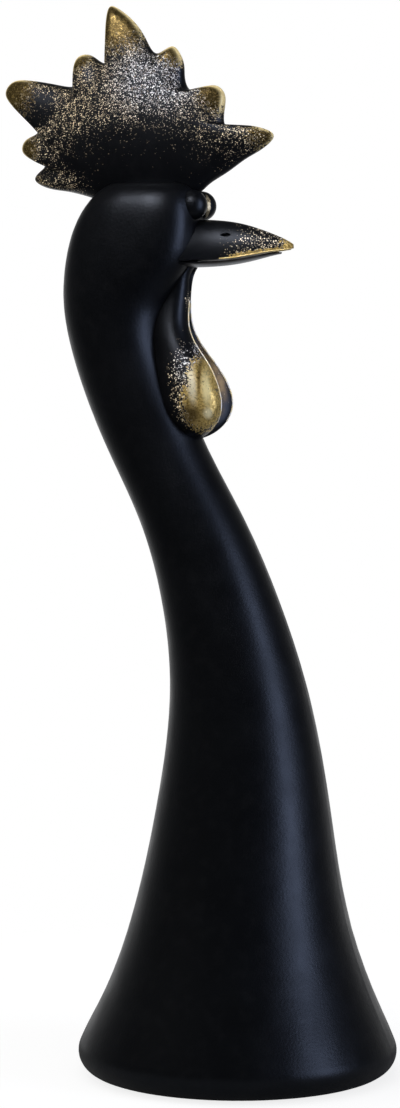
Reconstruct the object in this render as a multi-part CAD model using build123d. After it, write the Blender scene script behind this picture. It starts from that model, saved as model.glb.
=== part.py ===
from build123d import *
import os
from collections import namedtuple
from itertools import accumulate
from math import atan2, cos, dist, hypot, pi, radians, remainder, sin, sqrt

# A rooster bust in cast resin: a hollow body that flares out to a round foot, with the comb, beak,
# eyes and wattles cast separately, located by pins and pegs and bonded to the head and neck.
# A plate closes the hollow from below and carries a felt disc, on which the bust stands.
# Millimetres. +X is the way the rooster faces, +Y its left side, +Z up.
# The origin is the middle of the foot, on the surface that the felt rests on.

# Fits
BOND_GAP = 0.1
PIN_CLEARANCE = 0.1
OVERCUT = 1.0

# Foot, with the closing plate set in from its edge and the felt from the plate's edge, and the hollow
# above, which ends below the solid head
FOOT_RADIUS = 56.4
FELT_THICKNESS = 1.5
FELT_INSET = 3.0
FOOT_LIFT = 0.7
FOOT_ROUNDING = 7.5
PLATE_INSET = 11.4
PLATE_THICKNESS = 3.0
LIP_THICKNESS = 5.0
LIP_REACH = 5.0
WALL = 5.0
HEAD_SOLID = 93.0
CAVITY_ROUNDING = 6.0

# Body cross-sections from the foot to the crown: rise above the section below, lean of its middle
# along X, reach to the back and to the front, half width, and squareness (2 is an ellipse)
FLARE_RISE = 24.3
BELLY_RISE = 40.5
Section = namedtuple("Section", "rise lean back front side square")
FOOT = Section(0.0, 0.0, FOOT_RADIUS, FOOT_RADIUS, FOOT_RADIUS, 2.0)
NECK = [
    Section(FLARE_RISE, 0.3, 46.9, 46.9, 46.9, 2.0),
    Section(27.0, 0.6, 37.0, 37.3, 36.9, 2.0),
    Section(BELLY_RISE, 1.6, 28.9, 29.3, 28.6, 2.0),
    Section(BELLY_RISE, -0.3, 22.8, 23.1, 22.2, 2.0),
    Section(27.0, -6.3, 19.8, 20.1, 18.8, 2.0),
    Section(27.0, -16.1, 17.8, 18.0, 16.6, 2.0),
    Section(24.2, -28.3, 17.0, 17.2, 15.8, 2.0),
    Section(23.8, -38.1, 16.9, 16.9, 16.0, 2.0),
]
THROAT = Section(22.8, -42.4, 18.0, 18.0, 16.8, 2.1)
CHIN = Section(16.2, -37.3, 22.1, 22.2, 18.0, 2.5)
HEAD = Section(14.0, -34.5, 20.2, 21.5, 17.6, 3.0)
BROW = Section(8.6, -32.8, 15.8, 18.4, 15.2, 2.9)
CROWN = Section(4.0, -31.0, 11.0, 10.0, 8.5, 2.2)
SECTION_POINTS = 16

# Comb: its middle from the crown's middle, half thickness of its lens and of its spikes at the root,
# and the reach of the lens to the front, back, top and bottom
COMB_AHEAD = -6.7
COMB_RISE = 14.5
COMB_HALF_THICKNESS = 9.3
SPIKE_HALF_THICKNESS = 6.6
LENS_FRONT = 33.5
LENS_BACK = 31.5
LENS_TOP = 28.0
LENS_BOTTOM = 22.0
COMB_LEVELS = (0.0, 0.18, 0.36, 0.54, 0.7, 0.82, 0.9, 0.95, 0.98, 0.995)

# Comb outline from its middle as (ahead, up), spike by spike from the nape to the brow
COMB_OUTLINE = [
    # saddle over the crown and nape edge
    (22.7, -18.9), (10.5, -22.3), (-1.7, -22.3), (-12.9, -19.4), (-22.7, -16.9), (-31.0, -15.1),
    # nape lobe
    (-33.9, -12.7), (-32.0, -10.0), (-30.5, -8.5),
    # lower back lobe
    (-33.7, -6.2), (-38.5, -2.9), (-37.3, 0.5), (-32.9, 3.2),
    # long back spike
    (-35.7, 7.6), (-40.9, 11.7), (-44.4, 16.6), (-42.2, 20.0), (-36.7, 20.8), (-31.5, 20.1), (-25.2, 18.9),
    (-19.3, 18.9),
    # upper back lobe
    (-19.5, 23.6), (-18.8, 27.8), (-16.1, 29.0), (-13.0, 28.2), (-10.0, 26.2), (-4.5, 26.0),
    # tall top spike
    (-6.4, 33.8), (-8.2, 40.5), (-7.0, 44.9), (-3.2, 43.4), (1.1, 39.8), (5.4, 33.7), (9.4, 28.8),
    # upper front lobe
    (12.2, 30.0), (15.0, 31.0), (17.1, 29.0), (18.8, 24.3), (19.0, 20.3), (20.9, 16.4),
    # front lobe
    (25.8, 17.1), (30.4, 17.5), (32.6, 15.4), (32.8, 9.5), (33.4, 4.1),
    # brow spike
    (38.4, 4.1), (44.3, 3.7), (49.8, 0.7), (46.5, -3.2), (40.3, -6.8), (33.7, -11.3), (27.2, -15.4),
]
COMB_PIN_RADIUS = 1.5
COMB_PIN_LENGTH = 16.0
COMB_PIN_SPACING = 13.0

# Face: the level from which the beak, eyes and wattles are placed, behind the front of the head
FACE_INSET = 2.1

# Beak: height of the mouth line below the head's widest section, split peg in the face, and sections as
# distance ahead of the face, half width, and heights of the mouth, ridge and chin above the mouth line
MOUTH_DROP = 13.6
BEAK_PEG_RADIUS = 3.0
BEAK_PEG_LENGTH = 9.0
MOUTH_GAP = 0.6
LOWER_BEAK_INSET = 0.5
BeakSection = namedtuple("BeakSection", "ahead half_width mouth ridge chin")
BEAK = [
    BeakSection(-4.0, 11.4, 0.0, 13.4, -2.2),
    BeakSection(2.0, 9.7, 0.1, 13.8, -2.1),
    BeakSection(7.0, 7.9, 0.4, 13.6, -1.9),
    BeakSection(14.0, 6.5, 0.9, 12.8, -1.2),
    BeakSection(24.0, 4.3, 2.6, 10.0, 0.9),
    BeakSection(29.6, 2.5, 3.4, 7.8, 2.1),
]
BEAK_TIP = BeakSection(34.0, 0.8, 4.0, 5.4, 4.0)
NOSTRIL_AHEAD = 12.0
NOSTRIL_RISE = 8.5
NOSTRIL_LENGTH = 3.6
NOSTRIL_HEIGHT = 1.3
NOSTRIL_DEPTH = 1.2

# Eyes: balls on pegs, side by side over the beak, each turned a little outwards
EYE_RADIUS = 5.0
EYE_GAP = 1.0
EYE_LIFT = 0.1
EYE_AHEAD = 0.7
EYE_TURN = 5.0
EYE_PEG_RADIUS = 1.2
EYE_PEG_LENGTH = 5.0

# Wattles: sections as drop below the mouth line, front and back ahead of the face, and how far the front
# rim and the bulge stand from the seam between the two wattles; then where along a section it bulges most,
# and how far its outer face leans back at the rim
WattleSection = namedtuple("WattleSection", "drop front back rim bulge")
WATTLE = [
    WattleSection(1.0, 1.5, -12.0, 0.8, 5.6),
    WattleSection(10.5, -1.7, -13.0, 0.8, 5.8),
    WattleSection(18.5, -1.9, -15.0, 1.3, 7.2),
    WattleSection(24.5, -0.6, -15.5, 2.7, 8.8),
    WattleSection(30.5, 3.0, -15.0, 3.6, 10.4),
    WattleSection(36.5, 7.2, -14.5, 4.6, 11.8),
    WattleSection(42.5, 10.1, -13.5, 6.4, 12.6),
    WattleSection(48.0, 11.1, -12.5, 6.8, 12.8),
    WattleSection(53.5, 9.6, -10.0, 5.6, 11.6),
    WattleSection(57.4, 6.1, -7.0, 3.6, 8.4),
    WattleSection(59.6, 1.5, -3.0, 1.8, 4.0),
]
BULGE_SHARE = 0.45
RIM_LEAN = 0.15
WATTLE_SEAM = 0.5
WATTLE_PIN_DROP = 46.0
WATTLE_PIN_RADIUS = 1.5
WATTLE_PIN_LENGTH = 13.0

# Heights and places that follow from the sizes above
BODY = [FOOT, *NECK, THROAT, CHIN, HEAD, BROW, CROWN]
LEVELS = [FOOT_LIFT + rise for rise in accumulate(section.rise for section in BODY)]
CROWN_LEVEL = LEVELS[-1]
HEAD_LEVEL = LEVELS[BODY.index(HEAD)]
FACE = HEAD.lean + HEAD.front - FACE_INSET
MOUTH_LEVEL = HEAD_LEVEL - MOUTH_DROP
EYE_LEVEL = MOUTH_LEVEL + BEAK[0].ridge + EYE_LIFT + EYE_RADIUS
EYE_OFFSET = EYE_RADIUS + EYE_GAP / 2
COMB_MIDDLE = (CROWN.lean + COMB_AHEAD, CROWN_LEVEL + COMB_RISE)
PLATE_RADIUS = FOOT_RADIUS - PLATE_INSET
FELT_RADIUS = PLATE_RADIUS - FELT_INSET
PLATE_TOP = FELT_THICKNESS + PLATE_THICKNESS
CAVITY_TOP = HEAD_LEVEL - HEAD_SOLID
FAR = 200.0
LEFT = 1
RIGHT = -1
SIDES = (LEFT, RIGHT)


def closed_curve(points, shares):
    """A smooth closed outline through points, each at its share of the way round."""
    return Wire([Edge.make_spline(points, periodic=True, parameters=[*shares, 1.0])])


def body_ring(section, height, grow):
    """A closed, level outline of the body: an egg shape with a longer or shorter front than back."""
    shares = [step / SECTION_POINTS for step in range(SECTION_POINTS)]
    points = []
    for share in shares:
        ahead, aside = cos(2 * pi * share), sin(2 * pi * share)
        bulge = (abs(ahead) ** section.square + abs(aside) ** section.square) ** (-1 / section.square)
        reach = section.front if ahead > 0 else section.back
        x = section.lean + bulge * ahead * (reach + grow)
        y = bulge * aside * (section.side + grow)
        points.append((x, y, height))
    return closed_curve(points, shares)


def body_form(grow=0.0):
    """The body's outer form, with every section and the crown grown by the same amount."""
    rings = [body_ring(section, level, grow) for section, level in zip(BODY[:-1], LEVELS[:-1])]
    rings.append(body_ring(CROWN, CROWN_LEVEL + grow, grow))
    return Solid.make_loft(rings)


def body_front(level):
    """How far forward the body reaches at a level, between its two nearest sections."""
    pairs = list(zip(LEVELS, BODY))
    for (low, below), (high, above) in zip(pairs, pairs[1:]):
        if low <= level <= high:
            share = (level - low) / (high - low)
            front_below = below.lean + below.front
            return front_below + share * (above.lean + above.front - front_below)
    return FACE


def rod(radius, start, direction, length):
    """A round rod from a point, along a direction."""
    plane = Plane(origin=start, z_dir=direction)
    return plane * Cylinder(radius, length, align=(Align.CENTER, Align.CENTER, Align.MIN))


def level_disc(radius, bottom, top):
    """A round disc about the foot's middle, between two heights."""
    return rod(radius, (0, 0, bottom), (0, 0, 1), top - bottom)


def eye_place(sign):
    """The plane at an eye's middle, whose Z looks out of the pupil."""
    turn = radians(EYE_TURN) * sign
    return Plane(
        origin=(FACE + EYE_AHEAD, sign * EYE_OFFSET, EYE_LEVEL),
        z_dir=(cos(turn), sin(turn), 0),
    )


def eye_form(sign, clearance=0.0):
    """An eye's ball and peg, or the socket for them when a clearance is given."""
    peg_length = EYE_RADIUS + EYE_PEG_LENGTH + clearance
    peg = Cylinder(EYE_PEG_RADIUS + clearance, peg_length, align=(Align.CENTER, Align.CENTER, Align.MAX))
    return eye_place(sign) * (Sphere(EYE_RADIUS + clearance) + peg)


def comb_pin_places():
    """Where the comb's pins stand on the crown."""
    half = COMB_PIN_SPACING / 2
    return [(CROWN.lean - half, 0, CROWN_LEVEL), (CROWN.lean + half, 0, CROWN_LEVEL)]


def comb_pins(clearance=0.0):
    """The upright pins between crown and comb, or the holes for them."""
    length = COMB_PIN_LENGTH + 2 * clearance
    return [
        Pos(place) * Cylinder(COMB_PIN_RADIUS + clearance, length) for place in comb_pin_places()
    ]


def wattle_pin(sign, clearance=0.0):
    """The level pin that ties a wattle to the neck, or the hole for it."""
    level = MOUTH_LEVEL - WATTLE_PIN_DROP
    half = WATTLE_PIN_LENGTH / 2 + clearance
    aside = sign * (WATTLE_PIN_RADIUS * 2 + WATTLE_SEAM)
    start = (body_front(level) - half, aside, level)
    return rod(WATTLE_PIN_RADIUS + clearance, start, (1, 0, 0), 2 * half)


def beak_peg(clearance=0.0):
    """The round peg at the beak's root, which the upper and lower beak share, or the bore for it."""
    length = BEAK_PEG_LENGTH + clearance
    start = (FACE - length, 0, MOUTH_LEVEL)
    return rod(BEAK_PEG_RADIUS + clearance, start, (1, 0, 0), length + BEAK_PEG_LENGTH)


def lens_reach(angle):
    """How far the comb's lens reaches from its middle, at an angle from straight ahead."""
    ahead, up = cos(angle), sin(angle)
    return 1 / hypot(
        ahead / (LENS_FRONT if ahead > 0 else LENS_BACK),
        up / (LENS_TOP if up > 0 else LENS_BOTTOM),
    )


def comb_ring(level, shares):
    """The comb's outline at a level of its half thickness, from the spiked rim to the smooth lens."""
    aside = abs(level) * COMB_HALF_THICKNESS
    lens_scale = sqrt(1 - level**2)
    spike_scale = max(0.0, 1 - (aside / SPIKE_HALF_THICKNESS) ** 2)
    start = atan2(COMB_OUTLINE[0][1], COMB_OUTLINE[0][0])
    points = []
    for (ahead, up), share in zip(COMB_OUTLINE, shares):
        even_angle = start - 2 * pi * share
        rim_angle = even_angle + remainder(atan2(up, ahead) - even_angle, 2 * pi)
        lens_angle = rim_angle + level**2 * (even_angle - rim_angle)
        lens = lens_reach(lens_angle) * lens_scale
        spike = (hypot(ahead, up) - lens_reach(rim_angle)) * spike_scale
        x = COMB_MIDDLE[0] + lens * cos(lens_angle) + spike * cos(rim_angle)
        z = COMB_MIDDLE[1] + lens * sin(lens_angle) + spike * sin(rim_angle)
        points.append((x, level * COMB_HALF_THICKNESS, z))
    return closed_curve(points, shares)


def comb_form():
    """The whole comb before it is fitted to the head, lofted from its right side to its left."""
    rim = [*COMB_OUTLINE, COMB_OUTLINE[0]]
    walked = [0.0, *accumulate(dist(start, end) for start, end in zip(rim, rim[1:]))]
    shares = [length / walked[-1] for length in walked[:-1]]
    levels = [-level for level in reversed(COMB_LEVELS[1:])] + list(COMB_LEVELS)
    return Solid.make_loft([comb_ring(level, shares) for level in levels])


def beak_arch(section, half_width, low, high):
    """A D-shaped section of the beak: flat at the mouth and arched towards the ridge or the chin."""
    turn = 1 if high > low else -1
    plane = Plane(
        origin=(FACE + section.ahead, 0, MOUTH_LEVEL + low), x_dir=(0, 1, 0), z_dir=(turn, 0, 0)
    )
    arch = Edge.make_ellipse(half_width, abs(high - low), plane, start_angle=0, end_angle=180)
    return Wire([arch, Edge.make_line(arch @ 1, arch @ 0)])


def upper_beak_form():
    """The upper beak, from inside the head to its tip."""
    return Solid.make_loft([beak_arch(s, s.half_width, s.mouth, s.ridge) for s in [*BEAK, BEAK_TIP]])


def lower_beak_form(grow=0.0):
    """The lower beak, a little narrower and shorter than the upper."""
    wires = []
    for s in BEAK:
        half_width = s.half_width - LOWER_BEAK_INSET + grow
        wires.append(beak_arch(s, half_width, s.mouth - MOUTH_GAP + grow, s.chin - grow))
    return Solid.make_loft(wires)


def half_space(above):
    """A large block over or under the mouth line."""
    align = (Align.CENTER, Align.CENTER, Align.MIN if above else Align.MAX)
    lift = 0 if above else -MOUTH_GAP
    return Pos(FACE, 0, MOUTH_LEVEL + lift) * Box(FAR, FAR, FAR, align=align)


def nostril(sign):
    """A shallow oval hollow in the side of the upper beak."""
    x = FACE + NOSTRIL_AHEAD
    behind, before = BEAK[2], BEAK[3]
    share = (NOSTRIL_AHEAD - behind.ahead) / (before.ahead - behind.ahead)
    width = behind.half_width + share * (before.half_width - behind.half_width)
    height = behind.ridge + share * (before.ridge - behind.ridge)
    aside = width * sqrt(1 - (NOSTRIL_RISE / height) ** 2)
    tool = scale(Sphere(1.0), by=(NOSTRIL_LENGTH / 2, NOSTRIL_DEPTH, NOSTRIL_HEIGHT / 2))
    return Pos(x, sign * aside, MOUTH_LEVEL + NOSTRIL_RISE) * tool


def wattle_form():
    """The left wattle before it is fitted: a plump drop with a front rim, lofted from level sections."""
    wires = []
    for section in WATTLE:
        level = MOUTH_LEVEL - section.drop
        seam = WATTLE_SEAM / 2
        front = (FACE + section.front, seam + section.rim, level)
        back = (FACE + section.back, seam + section.bulge / 2, level)
        bulge_x = FACE + section.front + BULGE_SHARE * (section.back - section.front)
        outer = Edge.make_spline(
            [front, (bulge_x, seam + section.bulge, level), back],
            tangents=[(-RIM_LEAN, 1, 0), (-1, 0, 0), (-1, -1, 0)],
            parameters=[0, BULGE_SHARE, 1],
        )
        inner = Edge.make_three_point_arc(back, (bulge_x, seam, level), front)
        wires.append(Wire([outer, inner]))
    return Solid.make_loft(wires)


def make_body():
    """The hollow body, with its foot rounded and every socket cut."""
    form = body_form()
    foot_edge = form.edges().sort_by(Axis.Z)[0]
    form = fillet(foot_edge, FOOT_ROUNDING)
    floor = PLATE_TOP + LIP_THICKNESS
    cavity = body_form(-WALL) & level_disc(FAR, floor, CAVITY_TOP)
    cavity = fillet(cavity.edges().group_by(Axis.Z)[-1], CAVITY_ROUNDING)
    form -= cavity
    form -= level_disc(PLATE_RADIUS + BOND_GAP, -OVERCUT, PLATE_TOP)
    form -= level_disc(PLATE_RADIUS - LIP_REACH, 0.0, floor + OVERCUT)
    sockets = [beak_peg(PIN_CLEARANCE), *comb_pins(PIN_CLEARANCE)]
    for sign in SIDES:
        sockets += [eye_form(sign, BOND_GAP), wattle_pin(sign, PIN_CLEARANCE)]
    for socket in sockets:
        form -= socket
    return form


def make_comb(seat):
    """The comb, hollowed to sit over the crown and clear of the eyes, with its two pin holes."""
    comb = comb_form() - seat
    for sign in SIDES:
        comb -= eye_form(sign, BOND_GAP)
    for hole in comb_pins(PIN_CLEARANCE):
        comb -= hole
    return comb


def make_upper_beak(seat):
    """The upper beak with the upper half of the peg, and its two nostrils."""
    beak = upper_beak_form() - (seat - beak_peg())
    for sign in SIDES:
        beak -= nostril(sign)
        beak -= eye_form(sign, BOND_GAP)
    return beak + (beak_peg() & body_form() & half_space(above=True))


def make_lower_beak(seat):
    """The lower beak with the lower half of the peg."""
    beak = lower_beak_form() - (seat - beak_peg())
    return beak + (beak_peg() & body_form() & half_space(above=False))


def make_wattle(seat):
    """The left wattle, fitted to the neck, throat and lower beak, with the hole for its pin."""
    wattle = wattle_form() - seat
    wattle -= lower_beak_form(BOND_GAP)
    return wattle - wattle_pin(LEFT, PIN_CLEARANCE)


def main():
    os.makedirs("parts", exist_ok=True)
    seat = body_form(BOND_GAP)
    pieces = {
        "body_shell": make_body(),
        "comb": make_comb(seat),
        "comb_pins": Compound(children=comb_pins()),
        "upper_beak": make_upper_beak(seat),
        "lower_beak": make_lower_beak(seat),
        "wattle_pins": Compound(children=[wattle_pin(sign) for sign in SIDES]),
        "base_plate": level_disc(PLATE_RADIUS, FELT_THICKNESS, PLATE_TOP),
        "base_felt": level_disc(FELT_RADIUS, 0.0, FELT_THICKNESS),
    }
    for name, left in {"eye": eye_form(LEFT), "wattle": make_wattle(seat)}.items():
        pieces[f"left_{name}"] = left
        pieces[f"right_{name}"] = mirror(left, about=Plane.XZ)
    for name, piece in pieces.items():
        export_step(piece, f"parts/{name}.step")
        print(name, round(piece.volume), "mm3")


main()
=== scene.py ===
import math
from collections import Counter

import bpy
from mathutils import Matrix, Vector


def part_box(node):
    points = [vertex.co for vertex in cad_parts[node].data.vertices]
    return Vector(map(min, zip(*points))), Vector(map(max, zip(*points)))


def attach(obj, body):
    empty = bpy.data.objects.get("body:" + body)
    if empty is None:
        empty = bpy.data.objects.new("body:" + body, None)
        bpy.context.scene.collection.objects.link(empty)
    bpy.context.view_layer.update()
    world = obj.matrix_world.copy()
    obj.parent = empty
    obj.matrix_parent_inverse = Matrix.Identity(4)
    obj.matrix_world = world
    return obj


# A rooster bust in satin black paint, with gold sprayed on its comb, beak, wattles and eyes, in a studio.
# Metres and degrees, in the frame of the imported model: +X is the way the rooster faces, +Z up.

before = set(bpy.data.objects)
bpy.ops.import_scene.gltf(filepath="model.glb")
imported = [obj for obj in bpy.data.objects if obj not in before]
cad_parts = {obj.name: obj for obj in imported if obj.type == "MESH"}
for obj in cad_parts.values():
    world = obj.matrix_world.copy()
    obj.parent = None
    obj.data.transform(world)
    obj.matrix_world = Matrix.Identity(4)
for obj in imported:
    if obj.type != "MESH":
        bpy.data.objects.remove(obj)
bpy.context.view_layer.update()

# Camera: height of the photograph and focal length in pixels, height of the sensor in millimetres, degrees by
# which it stands ahead of the rooster's right side, its distance and height, and the point that it looks at
PHOTO_HEIGHT = 1108
FOCAL_PIXELS = 3355
SENSOR_HEIGHT = 36.0
CAMERA_AZIMUTH = 15.3
CAMERA_DISTANCE = 1.126
CAMERA_HEIGHT = 0.247
CAMERA_LOOK = Vector((-0.0134, 0.0, 0.1759))

# Colours, linear. A pair is two tones between which a surface wanders
BLACKS = ((0.0016, 0.0017, 0.0022), (0.0030, 0.0030, 0.0035))
BLACK_SHEEN = (0.78, 0.87, 1.0)
GOLDS = ((0.25, 0.165, 0.040), (0.70, 0.50, 0.165))
COMB_GOLDS = ((0.024, 0.015, 0.004), (0.095, 0.066, 0.020))
EYE_GOLDS = ((0.22, 0.17, 0.085), (0.46, 0.38, 0.24))
# Pale rim gold: a painted highlight on the comb's rims and the wattles' rim beads, and plain gold on the
# beak's edges
RIM_GOLD_AND_HIGHLIGHT = (0.90, 0.72, 0.34)
SPECK_WARM = (0.95, 0.80, 0.54)
# Near white: painted glints in the specks of the comb and wattles, and the painted highlight of the wattles'
# rim beads
SPECK_PALE = (0.86, 0.85, 0.84)
SPECK_DARK = (0.20, 0.145, 0.085)
FILM = (0.20, 0.13, 0.06)
LIP_GREY = (0.055, 0.047, 0.040)

# Patches of noise: their size, their detail, the span of the noise that counts, and the values at its ends
BLACK_WEAR = (0.004, 5.0, (0.45, 0.75), (0.0, 1.0))
BLACK_ROUGHNESS = (0.012, 4.0, (0.30, 0.70), (0.33, 0.40))
GOLD_MOTTLE = (0.0008, 4.0, (0.30, 0.65), (0.0, 1.0))
GOLD_ROUGHNESS = (0.0014, 3.0, (0.30, 0.70), (0.26, 0.40))
DUST_CLUMPS = (0.0035, 3.0, (0.30, 0.70), (0.65, 1.25))
COAT_GRAIN = (0.0007, 2.0, (0.30, 0.70), (-0.35, 0.35))
COMB_CLOUD = (0.010, 3.0, (0.25, 0.75), (-0.20, 0.20))
COMB_MOTTLE = (0.0012, 4.0, (0.30, 0.70), (-0.20, 0.20))
FILM_WEAR = (0.003, 4.0, (0.35, 0.65), (0.25, 0.85))
LIP_WEAR = (0.0022, 5.0, (0.35, 0.65), (0.45, 0.90))
BEAD_RUB = (0.002, 4.0, (0.30, 0.70), (0.0, 1.0))

# Waves in the black: their size, depth and strength, the detail of their noise, and how strongly it shines
CASTING_WAVES = (0.03, 0.0006, 0.35)
ORANGE_PEEL = (0.0009, 0.00005, 0.90)
WAVE_DETAIL = 2.0
BLACK_SHINE = 0.30

# A ramp is where it starts and ends, and the values there
# Specks of sprayed gold: sizes of the coarse and fine cells on each piece, the share of the dust that is
# coarse, how far a speck fills its cell by chance and by the dust's density, and the part of it that is solid
COMB_CELLS = (0.00052, 0.00034)
WATTLE_CELLS = (0.00080, 0.00045)
BEAK_CELLS = (0.00070, 0.00042)
COARSE_DUST = 0.75
SPECK_FILL = (0.0, 1.0, 0.25, 0.58)
SPECK_GROWTH = (0.0, 0.4, 0.6, 1.0)
SPECK_CORE = 0.6

# Gold: how dull specks are by chance and where dust is thin, where a coat closes, the depth and strength of
# its bump, and how metallic specks and coats are
DULL_CHANCE = (0.4, 1.0, 0.0, 0.9)
DULL_THIN = (0.0, 0.35, 0.8, 0.0)
COAT_EDGE = (0.46, 0.72, 0.0, 1.0)
GOLD_BUMP = (0.00006, 0.8)
SPECK_METAL = 0.15
COAT_METAL = 0.55

# An oval is a middle and a reach, as shares of a piece's length and height in its side view, the degrees by
# which its top leans back, and the ramp of the distance from its middle, in reaches
# Comb: dust round a bare root, painted glints where its specks are pale, dust at the nape, and where it is
# thin
COMB_BARE = ((0.533, 0.053), (0.250, 0.255), 0.0, (0.45, 2.0, 0.0, 0.70))
COMB_GLINTS = ((0.586, 0.610), (0.160, 0.180), 0.0, (0.50, 1.6, 1.0, 0.0))
COMB_NAPE_DUST = ((0.220, 0.050), (0.150, 0.160), 0.0, (0.30, 1.1, 0.4, 0.0))
COMB_THIN_DUST = ((0.125, 0.465), (0.085, 0.115), 0.0, (0.50, 1.3, 0.2, 1.0))

# Comb: how much dust lies where specks are painted pale, on sideways faces (none edge-on: painted shade in
# the valleys) and at the root, and the share of the comb's height over which that grows to all of it
COMB_GLINT_DUST = (0.0, 1.0, 0.80, 1.10)
COMB_SIDE_DUST_VALLEY_SHADE = (0.40, 0.85, 0.0, 1.0)
COMB_ROOT_DUST = 0.3
COMB_ROOT_HEIGHT = 0.5

# Comb: tips of its spikes as shares of its length and height, how far their gold reaches and how solid it is,
# the distances in reaches over which it fades, and the dust on it
COMB_TIPS = {
    "nape": (0.130, 0.085, 0.0040, 0.30),
    "lower_back": (0.064, 0.257, 0.0064, 1.00),
    "long_back": (0.000, 0.575, 0.0108, 1.00),
    "upper_back": (0.262, 0.745, 0.0062, 1.00),
    "tall_top": (0.410, 1.000, 0.0158, 1.00),
    "upper_front": (0.650, 0.783, 0.0066, 1.00),
    "front": (0.822, 0.560, 0.0086, 1.00),
    "brow": (1.000, 0.345, 0.0084, 0.80),
}
TIP_FADE = (0.4, 1.6)
TIP_DUST = 0.12

# Comb: tone of the gold by how solid it is, its painted rim highlight by how far the surface looks sideways,
# how metallic it is by that painted highlight, and how far bright specks show on it
COMB_TONE = (0.45, 1.15, 0.0, 1.0)
COMB_RIM_HIGHLIGHT = (0.46, 0.84, 0.9, 0.0)
COMB_METAL = (0.0, 0.9, 0.75, 0.15)
COMB_GLITTER = 0.3

# Wattles: gold on the lobe, dust round it and on the stem, and painted glints where the dust is pale
LOBE_FADE = (0.45, 1.35, 1.0, 0.0)
WATTLE_GOLD = (
    ((0.775, 0.200), (0.335, 0.180), 0.0, LOBE_FADE),
    ((0.775, 0.345), (0.245, 0.165), 8.0, LOBE_FADE),
)
WATTLE_DUST = ((0.610, 0.320), (0.380, 0.280), 8.0, (0.45, 1.2, 0.65, 0.0))
WATTLE_STEM = ((0.470, 0.800), (0.080, 0.080), 0.0, (0.30, 1.1, 0.80, 0.0))
WATTLE_GLINTS = ((0.530, 0.450), (0.240, 0.130), 0.0, (0.40, 1.4, 1.00, 0.0))

# Wattles: the outside by how far the surface looks that way, the share of the dust that lies on the inside,
# and the film there by the dust
WATTLE_OUTSIDE = (-0.1, 0.2, 0.0, 1.0)
INSIDE_DUST = 0.3
INSIDE_FILM = (0.1, 0.6, 0.0, 1.0)

# Painted light and shade on the wattles' gold, laid over one another: a painted highlight band, a painted
# shade line, a painted highlight streak, painted shade at the foot and a painted highlight spot
PAINTED_LIGHT_FADE = (0.2, 1.2, 0.9, 0.0)
WATTLE_PAINTED_LIGHT = (
    (((0.620, 0.318), (0.083, 0.141), 8.0, PAINTED_LIGHT_FADE), (0.86, 0.79, 0.57)),
    (((0.713, 0.376), (0.033, 0.153), 4.0, PAINTED_LIGHT_FADE), (0.13, 0.085, 0.025)),
    (((0.820, 0.294), (0.068, 0.130), 8.0, PAINTED_LIGHT_FADE), (1.00, 0.85, 0.42)),
    (((0.590, 0.140), (0.240, 0.085), 0.0, PAINTED_LIGHT_FADE), (0.05, 0.030, 0.009)),
    (((0.850, 0.150), (0.075, 0.040), 0.0, PAINTED_LIGHT_FADE), (1.00, 0.88, 0.52)),
)

# Beads of gold on edges: radius, spacing of their points, the part of a wattle's height that they run along,
# the length along the beak, roughness by how rubbed they are, and how metallic they are
BEAD_RADIUS = 0.00026
BEAD_STEP = 0.002
WATTLE_BEAD = (0.09, 0.82)
BEAK_BEAD_LENGTH = 0.024
BEAD_ROUGHNESS = (0.0, 1.0, 0.45, 0.30)
BEAD_METAL = 0.4

# Beak: where the dust starts and is thickest behind the tip at the mouth, how far that moves ahead per rise,
# how thick it gets, where the tip's gold starts, and the rise of the mouth per length
BEAK_DUST_START = 0.029
BEAK_DUST_FULL = 0.013
BEAK_DUST_SLANT = 0.62
BEAK_DUST = 0.62
BEAK_TIP_GOLD = 0.007
MOUTH_RISE = 0.142

# Beak: how high the gold stands over the mouth, how solid it is by height and by the dust there, how pale the
# dust is by height, how far below the mouth the lip turns from black painted shade to grey, and how metallic
# it is
EDGE_HEIGHT = 0.0017
EDGE_GOLD = (EDGE_HEIGHT / 3, EDGE_HEIGHT, 0.8, 0.0)
EDGE_DUST = (0.0, 0.5, 0.0, 1.0)
BEAK_PALE = (0.0, 3 * EDGE_HEIGHT, 0.0, 0.25)
LIP_DROP = 0.0012
LIP = (-LIP_DROP, -LIP_DROP / 3, 1.0, 0.0)
LIP_METAL = 0.4

# Eyes: radius of the ball, turn of the gold stripe towards the other eye, half its width and height, and how
# it fades by the square of the distance from its middle
EYE_RADIUS = 0.005
EYE_GOLD_TURN = 46.0
EYE_GOLD_REACH = (0.0009, 0.0040)
EYE_GOLD_FADE = (0.6, 1.2, 1.0, 0.0)

# Plain finishes: two tones, roughness, size of the grain and how metallic they are
PIN_STEEL = (((0.5, 0.5, 0.51), (0.6, 0.6, 0.6)), 0.3, 0.0006, 1.0)
PLATE_RESIN = (((0.012, 0.012, 0.013), (0.03, 0.03, 0.032)), 0.6, 0.002, 0.0)
FELT = (((0.008, 0.008, 0.009), (0.03, 0.03, 0.032)), 0.9, 0.0005, 0.0)

# Grain of the plain finishes: its detail, the span of its noise that changes the roughness, how much it
# changes it either way, its depth as a share of its size, and the strength of its bump
GRAIN_DETAIL = 4.0
GRAIN_SPAN = (0.2, 0.8)
GRAIN_ROUGHNESS = 0.06
GRAIN_DEPTH = 0.1
GRAIN_BUMP = 0.4

# Room that reflections see: brightness from the camera's side (0) round to the backdrop (1), and how much it
# darkens upwards
ROOM = {0.0: 0.006, 0.25: 0.012, 0.36: 0.022, 0.56: 0.04, 0.81: 0.13, 0.93: 0.5, 1.0: 0.9}
ROOM_TILT = -0.35

# Key light of the world: the side that it comes from, and its strength by the cosine from there
KEY_SIDE = (-0.45, -0.62, 0.64)
KEY_LIGHT = (0.0, 1.0, 0.08, 1.36)

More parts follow.
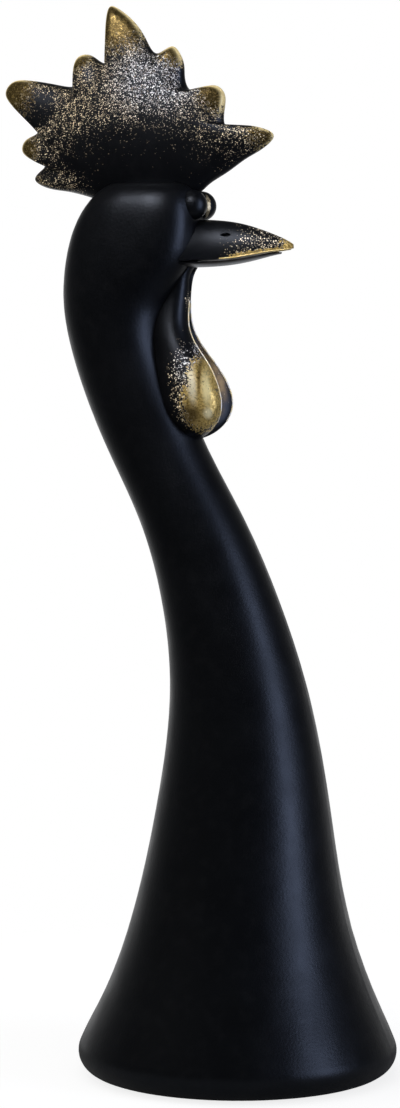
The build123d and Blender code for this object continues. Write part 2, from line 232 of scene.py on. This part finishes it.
# Lamps: place, aim, width and height, power in watts, colour, and degrees by which the light spreads
LAMPS = {
    "right_softbox": ((1.96, -0.41, 0.35), (0, 0, 0.3), (0.8, 1.9), 25, (0.66, 0.74, 1.0), 180),
    "top_softbox": ((-0.07, -0.304, 0.576), (-0.04, 0, 0.292), (0.56, 0.12), 0.13, (1.0, 0.97, 1.0), 28),
    "left_fill": ((-1.2, -0.9, 0.8), (0, 0, 0.28), (1.0, 0.8), 0.12, (1.0, 0.88, 0.80), 180),
}

# Floor: number of its sides, where it starts to fade into the background and where it ends, its grey, its
# roughness and shine, and how brightly the camera sees it glow
FLOOR_SIDES = 64
FLOOR_CLEAR = 0.09
FLOOR_END = 0.30
FLOOR_GREY = (0.25, 0.25, 0.25)
FLOOR_ROUGHNESS = 0.9
FLOOR_SHINE = 0.1
FLOOR_GLOW = 0.82


def place_camera():
    """The photograph's camera, in front of the rooster's right side and a little above its middle."""
    data = bpy.data.cameras.new("camera")
    data.sensor_fit = "VERTICAL"
    data.sensor_height = SENSOR_HEIGHT
    data.lens = FOCAL_PIXELS * SENSOR_HEIGHT / PHOTO_HEIGHT
    camera = bpy.data.objects.new("camera", data)
    turn = math.radians(CAMERA_AZIMUTH)
    camera.location = (CAMERA_DISTANCE * math.sin(turn), -CAMERA_DISTANCE * math.cos(turn), CAMERA_HEIGHT)
    camera.rotation_euler = (CAMERA_LOOK - camera.location).to_track_quat("-Z", "Y").to_euler()
    bpy.context.scene.collection.objects.link(camera)
    bpy.context.scene.camera = camera


def along(box, shares):
    """The point at shares of a box's length and height, in the middle of its width."""
    low, high = box
    return Vector((
        low.x + shares[0] * (high.x - low.x),
        (low.y + high.y) / 2,
        low.z + shares[1] * (high.z - low.z),
    ))


class Graph:
    """The node tree of a material or the world, with short calls for the nodes that they share."""

    def __init__(self, owner, coordinates):
        owner.use_nodes = True
        self.nodes = owner.node_tree.nodes
        self.links = owner.node_tree.links
        self.place = self.nodes.new("ShaderNodeTexCoord").outputs[coordinates]

    def feed(self, socket, value):
        """Sets a socket to a constant, or links it to another node's output."""
        if isinstance(value, bpy.types.NodeSocket):
            self.links.new(value, socket)
        else:
            socket.default_value = value

    def math(self, operation, first, second=0.0):
        node = self.nodes.new("ShaderNodeMath")
        node.operation = operation
        self.feed(node.inputs[0], first)
        self.feed(node.inputs[1], second)
        return node.outputs[0]

    def vector(self, operation, first, second=(0, 0, 0)):
        """Vector arithmetic, of which DOT_PRODUCT and LENGTH give a number."""
        node = self.nodes.new("ShaderNodeVectorMath")
        node.operation = operation
        self.feed(node.inputs[0], first)
        self.feed(node.inputs[1], second)
        return node.outputs["Value" if operation in ("DOT_PRODUCT", "LENGTH") else "Vector"]

    def ramp(self, value, low, high, start=0.0, end=1.0):
        """A smooth step from start at low to end at high."""
        node = self.nodes.new("ShaderNodeMapRange")
        node.interpolation_type = "SMOOTHSTEP"
        self.feed(node.inputs["Value"], value)
        self.feed(node.inputs["From Min"], low)
        self.feed(node.inputs["From Max"], high)
        self.feed(node.inputs["To Min"], start)
        self.feed(node.inputs["To Max"], end)
        return node.outputs["Result"]

    def between(self, share, first, second):
        """A number between two, by a share."""
        node = self.nodes.new("ShaderNodeMix")
        self.feed(node.inputs["Factor"], share)
        self.feed(node.inputs["A"], first)
        self.feed(node.inputs["B"], second)
        return node.outputs[0]

    def mix(self, share, first, second):
        """A colour between two, by a share."""
        node = self.nodes.new("ShaderNodeMix")
        node.data_type = "RGBA"
        self.feed(node.inputs["Factor"], share)
        for socket, value in ((node.inputs[6], first), (node.inputs[7], second)):
            self.feed(socket, value if isinstance(value, bpy.types.NodeSocket) else (*value, 1))
        return node.outputs[2]

    def toward(self, direction):
        """Distance along a direction, from the origin."""
        return self.vector("DOT_PRODUCT", self.place, direction)

    def oval(self, middle, reach, lean=0.0):
        """Distance from a middle point, in units of the reach along each axis (0 leaves an axis out)."""
        turned = self.nodes.new("ShaderNodeVectorRotate")
        turned.rotation_type = "Y_AXIS"
        self.feed(turned.inputs["Vector"], self.place)
        turned.inputs["Center"].default_value = middle
        turned.inputs["Angle"].default_value = math.radians(lean)
        offset = self.vector("SUBTRACT", turned.outputs["Vector"], middle)
        scale = [1 / length if length else 0.0 for length in reach]
        return self.vector("LENGTH", self.vector("MULTIPLY", offset, scale))


class Finish(Graph):
    """A new material, with calls for what its surface needs."""

    def __init__(self, name):
        self.material = bpy.data.materials.new(name)
        super().__init__(self.material, "Object")
        self.shader = self.nodes["Principled BSDF"]

    def surface(self, colour, roughness, metallic=0.0, normal=None):
        """Feeds the shader, and gives the material."""
        self.feed(self.shader.inputs["Base Color"], colour)
        self.feed(self.shader.inputs["Roughness"], roughness)
        self.feed(self.shader.inputs["Metallic"], metallic)
        if normal:
            self.feed(self.shader.inputs["Normal"], normal)
        return self.material

    def noise(self, size, detail):
        """Smooth noise from 0 to 1, with features of about this size."""
        node = self.nodes.new("ShaderNodeTexNoise")
        self.feed(node.inputs["Vector"], self.place)
        node.inputs["Scale"].default_value = 1 / size
        node.inputs["Detail"].default_value = detail
        return node.outputs["Fac"]

    def patches(self, size, detail, span, values):
        """Noise that goes from one value to the other over a span of it."""
        return self.ramp(self.noise(size, detail), *span, *values)

    def bump(self, height, depth, strength, normal=None):
        """A bumped normal for a height from 0 to 1, with its depth in metres."""
        node = self.nodes.new("ShaderNodeBump")
        node.inputs["Strength"].default_value = strength
        node.inputs["Distance"].default_value = depth
        self.feed(node.inputs["Height"], height)
        if normal:
            self.feed(node.inputs["Normal"], normal)
        return node.outputs["Normal"]

    def waves(self, size, depth, strength, normal=None):
        """A normal bumped by smooth waves of about this size."""
        return self.bump(self.noise(size, WAVE_DETAIL), depth, strength, normal)

    def spot(self, box, oval, shift=0.0):
        """The ramp of an oval on a box's side view, with a shift of the distance from its middle."""
        low, high = box
        middle, reach, lean, ramp = oval
        span = high - low
        far = self.oval(along(box, middle), (reach[0] * span.x, 0.0, reach[1] * span.z), lean)
        return self.ramp(self.math("ADD", far, shift), *ramp)

    def aside(self):
        """How far the surface faces sideways, from -1 at the right to 1 at the left."""
        split = self.nodes.new("ShaderNodeSeparateXYZ")
        self.feed(split.inputs[0], self.nodes.new("ShaderNodeNewGeometry").outputs["Normal"])
        return split.outputs["Y"]

    def specks(self, cell, density):
        """Round specks of many sizes, in as many cells as the density says, and a chance for each cell."""
        voronoi = self.nodes.new("ShaderNodeTexVoronoi")
        self.feed(voronoi.inputs["Vector"], self.place)
        voronoi.inputs["Scale"].default_value = 1 / cell
        random = self.nodes.new("ShaderNodeSeparateColor")
        self.feed(random.inputs[0], voronoi.outputs["Color"])
        shown = self.math("LESS_THAN", random.outputs[0], density)
        fill = self.ramp(random.outputs[1], *SPECK_FILL)
        radius = self.math("MULTIPLY", fill, self.ramp(density, *SPECK_GROWTH))
        core = self.math("MULTIPLY", radius, SPECK_CORE)
        speck = self.ramp(voronoi.outputs["Distance"], core, radius, 1.0, 0.0)
        return self.math("MULTIPLY", speck, shown), random.outputs[2]


def black_paint(finish):
    """Satin black over a cast surface: base colour, roughness and normal."""
    colour = finish.mix(finish.patches(*BLACK_WEAR), *BLACKS)
    roughness = finish.patches(*BLACK_ROUGHNESS)
    normal = finish.waves(*ORANGE_PEEL, finish.waves(*CASTING_WAVES))
    finish.shader.inputs["Specular IOR Level"].default_value = BLACK_SHINE
    finish.shader.inputs["Specular Tint"].default_value = (*BLACK_SHEEN, 1)
    return colour, roughness, normal


def finish_black(name):
    finish = Finish(name)
    colour, roughness, normal = black_paint(finish)
    return finish.surface(colour, roughness, normal=normal)


def mottled(finish, golds):
    """A gold that wanders between two tones."""
    return finish.mix(finish.patches(*GOLD_MOTTLE), *golds)


def gild(finish, cells, coat_gold, dust, solid, pale, film=0.0, glitter=0.0, coat_metal=COAT_METAL):
    """Gold over black: specks where there is dust, a coat where it is solid, and a thin dull film.

    Where pale is 1, the specks are nearly white: painted glints on the comb and wattles.
    Glitter is how far bright specks show on the coat.
    """
    black, roughness, normal = black_paint(finish)
    density = finish.math("MULTIPLY", dust, finish.patches(*DUST_CLUMPS))
    coarse, chance = finish.specks(cells[0], finish.math("MULTIPLY", density, COARSE_DUST))
    fine, _ = finish.specks(cells[1], density)
    specks = finish.math("MAXIMUM", coarse, fine)
    coat = finish.ramp(finish.math("ADD", solid, finish.patches(*COAT_GRAIN)), *COAT_EDGE)
    cover = finish.math("MAXIMUM", specks, coat)
    dull = finish.math("MAXIMUM", finish.ramp(chance, *DULL_CHANCE), finish.ramp(density, *DULL_THIN))
    speck_gold = finish.mix(dull, finish.mix(pale, SPECK_WARM, SPECK_PALE), SPECK_DARK)
    speck_gold = finish.mix(coat, speck_gold, GOLDS[1])
    plain_coat = finish.math("MULTIPLY", coat, finish.ramp(specks, 0.0, 1.0, 1.0, 1.0 - glitter))
    gold = finish.mix(plain_coat, speck_gold, coat_gold)
    colour = finish.mix(cover, finish.mix(film, black, FILM), gold)
    metal = finish.math("MULTIPLY", cover, finish.ramp(coat, 0.0, 1.0, SPECK_METAL, coat_metal))
    metal = finish.math("MAXIMUM", metal, film)
    roughness = finish.between(cover, roughness, finish.patches(*GOLD_ROUGHNESS))
    return finish.surface(colour, roughness, metal, finish.bump(cover, *GOLD_BUMP, normal))


def finish_comb(name):
    """Gold on every tip of the comb with a painted highlight on their rims, dust over its sides with painted
    glints in its middle, bare black at its root, and painted shade in the valleys where the dust thins.
    """
    finish = Finish(name)
    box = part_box("comb")
    low, high = box
    root_end = low.z + COMB_ROOT_HEIGHT * (high.z - low.z)
    sideways = finish.math("ABSOLUTE", finish.aside())
    # Painted glints: the specks turn pale in the middle of the comb
    pale = finish.spot(box, COMB_GLINTS)
    dust = finish.spot(box, COMB_BARE, finish.patches(*COMB_CLOUD))
    dust = finish.math("MULTIPLY", dust, finish.ramp(pale, *COMB_GLINT_DUST))
    higher = finish.ramp(finish.toward((0, 0, 1)), low.z, root_end, COMB_ROOT_DUST, 1.0)
    dust = finish.math("MULTIPLY", dust, higher)
    # Dust thins to nothing where the surface turns edge-on: painted shade in the valleys
    dust = finish.math("MULTIPLY", dust, finish.ramp(sideways, *COMB_SIDE_DUST_VALLEY_SHADE))
    dust = finish.math("MAXIMUM", dust, finish.spot(box, COMB_NAPE_DUST))
    dust = finish.math("MULTIPLY", dust, finish.spot(box, COMB_THIN_DUST))
    solid = 0.0
    for share_x, share_z, reach, strength in COMB_TIPS.values():
        far = finish.oval(along(box, (share_x, share_z)), (reach, 0.0, reach))
        solid = finish.math("MAXIMUM", solid, finish.ramp(far, *TIP_FADE, strength, 0.0))
    dust = finish.math("ADD", dust, finish.math("MULTIPLY", solid, TIP_DUST))
    # Painted highlight: pale gold and less metal on the rims of the tips, where the surface turns edge-on
    rim = finish.ramp(sideways, *COMB_RIM_HIGHLIGHT)
    tone = finish.math("ADD", solid, finish.patches(*COMB_MOTTLE))
    gold = finish.mix(finish.ramp(tone, *COMB_TONE), *COMB_GOLDS)
    gold = finish.mix(finish.math("MULTIPLY", rim, solid), gold, RIM_GOLD_AND_HIGHLIGHT)
    metal = finish.ramp(rim, *COMB_METAL)
    return gild(finish, COMB_CELLS, gold, dust, solid, pale, glitter=COMB_GLITTER, coat_metal=metal)


def finish_wattle(name, node, side):
    """Gold with painted highlights and shade on the outside of the lobe, dust round it and on the stem.
    Side is 1 for left, -1 for right.
    """
    finish = Finish(name)
    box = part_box(node)
    outside = finish.ramp(finish.math("MULTIPLY", finish.aside(), side), *WATTLE_OUTSIDE)
    solid = 0.0
    for oval in WATTLE_GOLD:
        solid = finish.math("MAXIMUM", solid, finish.spot(box, oval))
    solid = finish.math("MULTIPLY", solid, outside)
    dust = finish.spot(box, WATTLE_DUST)
    inside = finish.math("SUBTRACT", 1.0, outside)
    film = finish.math("MULTIPLY", finish.ramp(dust, *INSIDE_FILM), inside)
    film = finish.math("MULTIPLY", film, finish.patches(*FILM_WEAR))
    dust = finish.math("MULTIPLY", dust, finish.ramp(outside, 0.0, 1.0, INSIDE_DUST, 1.0))
    dust = finish.math("MAXIMUM", dust, finish.spot(box, WATTLE_STEM))
    gold = mottled(finish, GOLDS)
    # Painted highlights and painted shade laid over the lobe's gold
    for oval, tone in WATTLE_PAINTED_LIGHT:
        gold = finish.mix(finish.spot(box, oval), gold, tone)
    return gild(finish, WATTLE_CELLS, gold, dust, solid, finish.spot(box, WATTLE_GLINTS), film)


def above_mouth(finish):
    """Height above the line of the mouth, which rises towards the tip of the beak."""
    low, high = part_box("upper_beak")
    mouth = low.z - MOUTH_RISE * (high.x - BEAK_DUST_START)
    return finish.math("SUBTRACT", finish.toward((-MOUTH_RISE, 0, 1)), mouth)


def finish_upper_beak(name):
    """Dust that thickens to a gold tip and starts further back at the mouth, and gold along the mouth."""
    finish = Finish(name)
    low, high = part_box("upper_beak")
    mouth_tip = high.x - BEAK_DUST_SLANT * low.z
    ahead = finish.toward((1, 0, -BEAK_DUST_SLANT))
    dust = finish.ramp(ahead, mouth_tip - BEAK_DUST_START, mouth_tip - BEAK_DUST_FULL, 0.0, BEAK_DUST)
    tip = finish.ramp(finish.toward((1, 0, 0)), high.x - BEAK_TIP_GOLD, high.x)
    height = above_mouth(finish)
    edge = finish.math("MULTIPLY", finish.ramp(height, *EDGE_GOLD), finish.ramp(dust, *EDGE_DUST))
    solid = finish.math("MAXIMUM", tip, edge)
    return gild(finish, BEAK_CELLS, mottled(finish, GOLDS), dust, solid, finish.ramp(height, *BEAK_PALE))


def finish_lower_beak(name):
    """Grey in worn patches below, and black towards the mouth as painted shade under the upper beak."""
    finish = Finish(name)
    black, roughness, normal = black_paint(finish)
    grey_out_of_shade = finish.math("MULTIPLY", finish.ramp(above_mouth(finish), *LIP), finish.patches(*LIP_WEAR))
    metal = finish.math("MULTIPLY", grey_out_of_shade, LIP_METAL)
    return finish.surface(finish.mix(grey_out_of_shade, black, LIP_GREY), roughness, metal, normal)


def finish_eye(name, node, side):
    """Black, with a gold stripe on the side towards the other eye. Side is 1 for left, -1 for right."""
    finish = Finish(name)
    low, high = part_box(node)
    middle = Vector((high.x - EYE_RADIUS, (low.y + high.y) / 2, (low.z + high.z) / 2))
    turn = math.radians(EYE_GOLD_TURN)
    across = Vector((math.sin(turn), side * math.cos(turn), 0.0)) / EYE_GOLD_REACH[0]
    up = Vector((0.0, 0.0, 1.0)) / EYE_GOLD_REACH[1]
    far = 0.0
    for direction in (across, up):
        offset = finish.math("SUBTRACT", finish.toward(direction), direction.dot(middle))
        far = finish.math("ADD", far, finish.math("MULTIPLY", offset, offset))
    return gild(finish, BEAK_CELLS, mottled(finish, EYE_GOLDS), 0.0, finish.ramp(far, *EYE_GOLD_FADE), 0.0)


def finish_bead(name, golds):
    """Rubbed gold between two tones, for the wattles' rims, where its pale tones are partly a painted
    highlight, and the beak's edges.
    """
    finish = Finish(name)
    rubbed = finish.patches(*BEAD_RUB)
    return finish.surface(finish.mix(rubbed, *golds), finish.ramp(rubbed, *BEAD_ROUGHNESS), BEAD_METAL)


def finish_plain(name, tones, roughness, grain, metallic):
    """Two tones in a fine grain, for the pieces underneath and inside."""
    finish = Finish(name)
    noise = finish.noise(grain, GRAIN_DETAIL)
    rough = finish.ramp(noise, *GRAIN_SPAN, roughness - GRAIN_ROUGHNESS, roughness + GRAIN_ROUGHNESS)
    normal = finish.bump(noise, grain * GRAIN_DEPTH, GRAIN_BUMP)
    return finish.surface(finish.mix(noise, *tones), rough, metallic, normal)


def edge_places(node):
    """Places on the edges of a piece, where vertices of two or more faces meet."""
    places = Counter(vertex.co.to_tuple(6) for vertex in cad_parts[node].data.vertices)
    return [Vector(place) for place, count in places.items() if count > 1]


def rim_points(node):
    """Points up a wattle's front rim: the foremost place on its edges in each band of height."""
    low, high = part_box(node)
    bottom, top = (low.z + share * (high.z - low.z) for share in WATTLE_BEAD)
    bands = {}
    for place in edge_places(node):
        band = round(place.z / BEAD_STEP)
        if bottom < place.z < top and (band not in bands or place.x > bands[band].x):
            bands[band] = place
    return [bands[band] for band in sorted(bands)]


def mouth_points(side):
    """Points along the upper beak's lower edge on one side: the lowest place in each band of length."""
    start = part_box("upper_beak")[1].x - BEAK_BEAD_LENGTH
    bands = {}
    for place in edge_places("upper_beak"):
        band = round(place.x / BEAD_STEP)
        if place.x > start and place.y * side > 0 and (band not in bands or place.z < bands[band].z):
            bands[band] = place
    return [bands[band] for band in sorted(bands)]


def add_bead(name, points, material):
    """A thin bead of gold along an edge."""
    data = bpy.data.curves.new(name, "CURVE")
    data.dimensions = "3D"
    data.bevel_depth = BEAD_RADIUS
    data.bevel_resolution = 2
    data.use_fill_caps = True
    spline = data.splines.new("NURBS")
    spline.points.add(len(points) - 1)
    for point, place in zip(spline.points, points):
        point.co = (*place, 1.0)
    spline.order_u = 3
    spline.use_endpoint_u = True
    data.materials.append(material)
    bead = bpy.data.objects.new(name, data)
    bpy.context.scene.collection.objects.link(bead)
    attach(bead, "root")


def finish_floor(name):
    """Grey that glows white to the camera, keeps the object's shadow and turns clear towards its edge."""
    finish = Finish(name)
    finish.surface((*FLOOR_GREY, 1), FLOOR_ROUGHNESS)
    finish.shader.inputs["Specular IOR Level"].default_value = FLOOR_SHINE
    glow = finish.nodes.new("ShaderNodeEmission")
    seen = finish.nodes.new("ShaderNodeLightPath").outputs["Is Camera Ray"]
    finish.feed(glow.inputs["Strength"], finish.math("MULTIPLY", seen, FLOOR_GLOW))
    lit = finish.nodes.new("ShaderNodeAddShader")
    finish.feed(lit.inputs[0], finish.shader.outputs[0])
    finish.feed(lit.inputs[1], glow.outputs[0])
    clear = finish.nodes.new("ShaderNodeBsdfTransparent")
    fade = finish.nodes.new("ShaderNodeMixShader")
    finish.feed(fade.inputs[0], finish.ramp(finish.oval((0, 0, 0), (1, 1, 1)), FLOOR_CLEAR, FLOOR_END))
    finish.feed(fade.inputs[1], lit.outputs[0])
    finish.feed(fade.inputs[2], clear.outputs[0])
    finish.feed(finish.nodes["Material Output"].inputs["Surface"], fade.outputs[0])
    return finish.material


def make_floor():
    """A disc under the object."""
    turns = [2 * math.pi * step / FLOOR_SIDES for step in range(FLOOR_SIDES)]
    corners = [(FLOOR_END * math.cos(turn), FLOOR_END * math.sin(turn), 0) for turn in turns]
    mesh = bpy.data.meshes.new("floor")
    mesh.from_pydata(corners, [], [range(FLOOR_SIDES)])
    mesh.materials.append(finish_floor("floor"))
    floor = bpy.data.objects.new("floor", mesh)
    bpy.context.scene.collection.objects.link(floor)


def make_world():
    """White to the camera; reflections see a bright backdrop behind the object and a dim room elsewhere.

    Other rays see the key light, which comes from one side.
    """
    world = bpy.data.worlds.new("studio")
    bpy.context.scene.world = world
    graph = Graph(world, "Generated")
    path = graph.nodes.new("ShaderNodeLightPath").outputs
    turn = math.radians(CAMERA_AZIMUTH)
    depth = graph.toward((-math.sin(turn), math.cos(turn), ROOM_TILT))
    room = graph.nodes.new("ShaderNodeValToRGB")
    graph.feed(room.inputs["Fac"], graph.math("MULTIPLY", graph.math("ADD", depth, 1.0), 0.5))
    stops = room.color_ramp.elements
    while len(stops) < len(ROOM):
        stops.new(0.5)
    for stop, (position, brightness) in zip(stops, ROOM.items()):
        stop.position = position
        stop.color = (brightness, brightness, brightness, 1)
    mirrored = graph.math("MAXIMUM", path["Is Glossy Ray"], path["Is Transmission Ray"])
    key = graph.ramp(graph.toward(KEY_SIDE), *KEY_LIGHT)
    light = graph.between(mirrored, key, room.outputs["Color"])
    background = graph.nodes["Background"]
    background.inputs["Color"].default_value = (1, 1, 1, 1)
    graph.feed(background.inputs["Strength"], graph.math("MAXIMUM", path["Is Camera Ray"], light))


def area_light(name, place, aim, size, power, colour, spread):
    data = bpy.data.lights.new(name, "AREA")
    data.shape = "RECTANGLE"
    data.size, data.size_y = size
    data.energy = power
    data.color = colour
    data.spread = math.radians(spread)
    lamp = bpy.data.objects.new(name, data)
    lamp.location = place
    lamp.rotation_euler = (Vector(aim) - Vector(place)).to_track_quat("-Z", "Y").to_euler()
    bpy.context.scene.collection.objects.link(lamp)


bpy.context.scene.view_settings.view_transform = "Standard"
place_camera()
make_world()
make_floor()

FINISHES = {
    "comb": finish_comb("comb_gilding"),
    "upper_beak": finish_upper_beak("beak_gilding"),
    "lower_beak": finish_lower_beak("worn_gilding"),
    "left_eye": finish_eye("left_eye_gloss", "left_eye", 1),
    "right_eye": finish_eye("right_eye_gloss", "right_eye", -1),
    "comb_pins": finish_plain("pin_steel", *PIN_STEEL),
    "base_plate": finish_plain("plate_resin", *PLATE_RESIN),
    "base_felt": finish_plain("felt", *FELT),
    "body_shell": finish_black("black_paint"),
    "left_wattle": finish_wattle("left_wattle_gilding", "left_wattle", 1),
    "right_wattle": finish_wattle("right_wattle_gilding", "right_wattle", -1),
}
FINISHES["wattle_pins"] = FINISHES["comb_pins"]
for name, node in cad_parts.items():
    node.material_slots[0].material = FINISHES[name]

# Pale gold beads on the wattles' rims: partly a painted highlight along the rim
rim_gold_and_highlight = finish_bead("rim_gold_and_highlight", (RIM_GOLD_AND_HIGHLIGHT, SPECK_PALE))
edge_gilding = finish_bead("edge_gilding", (GOLDS[1], RIM_GOLD_AND_HIGHLIGHT))
for name, side in (("left", 1), ("right", -1)):
    add_bead(f"{name}_wattle_rim", rim_points(f"{name}_wattle"), rim_gold_and_highlight)
    add_bead(f"{name}_beak_edge", mouth_points(side), edge_gilding)

for name, lamp in LAMPS.items():
    area_light(name, *lamp)
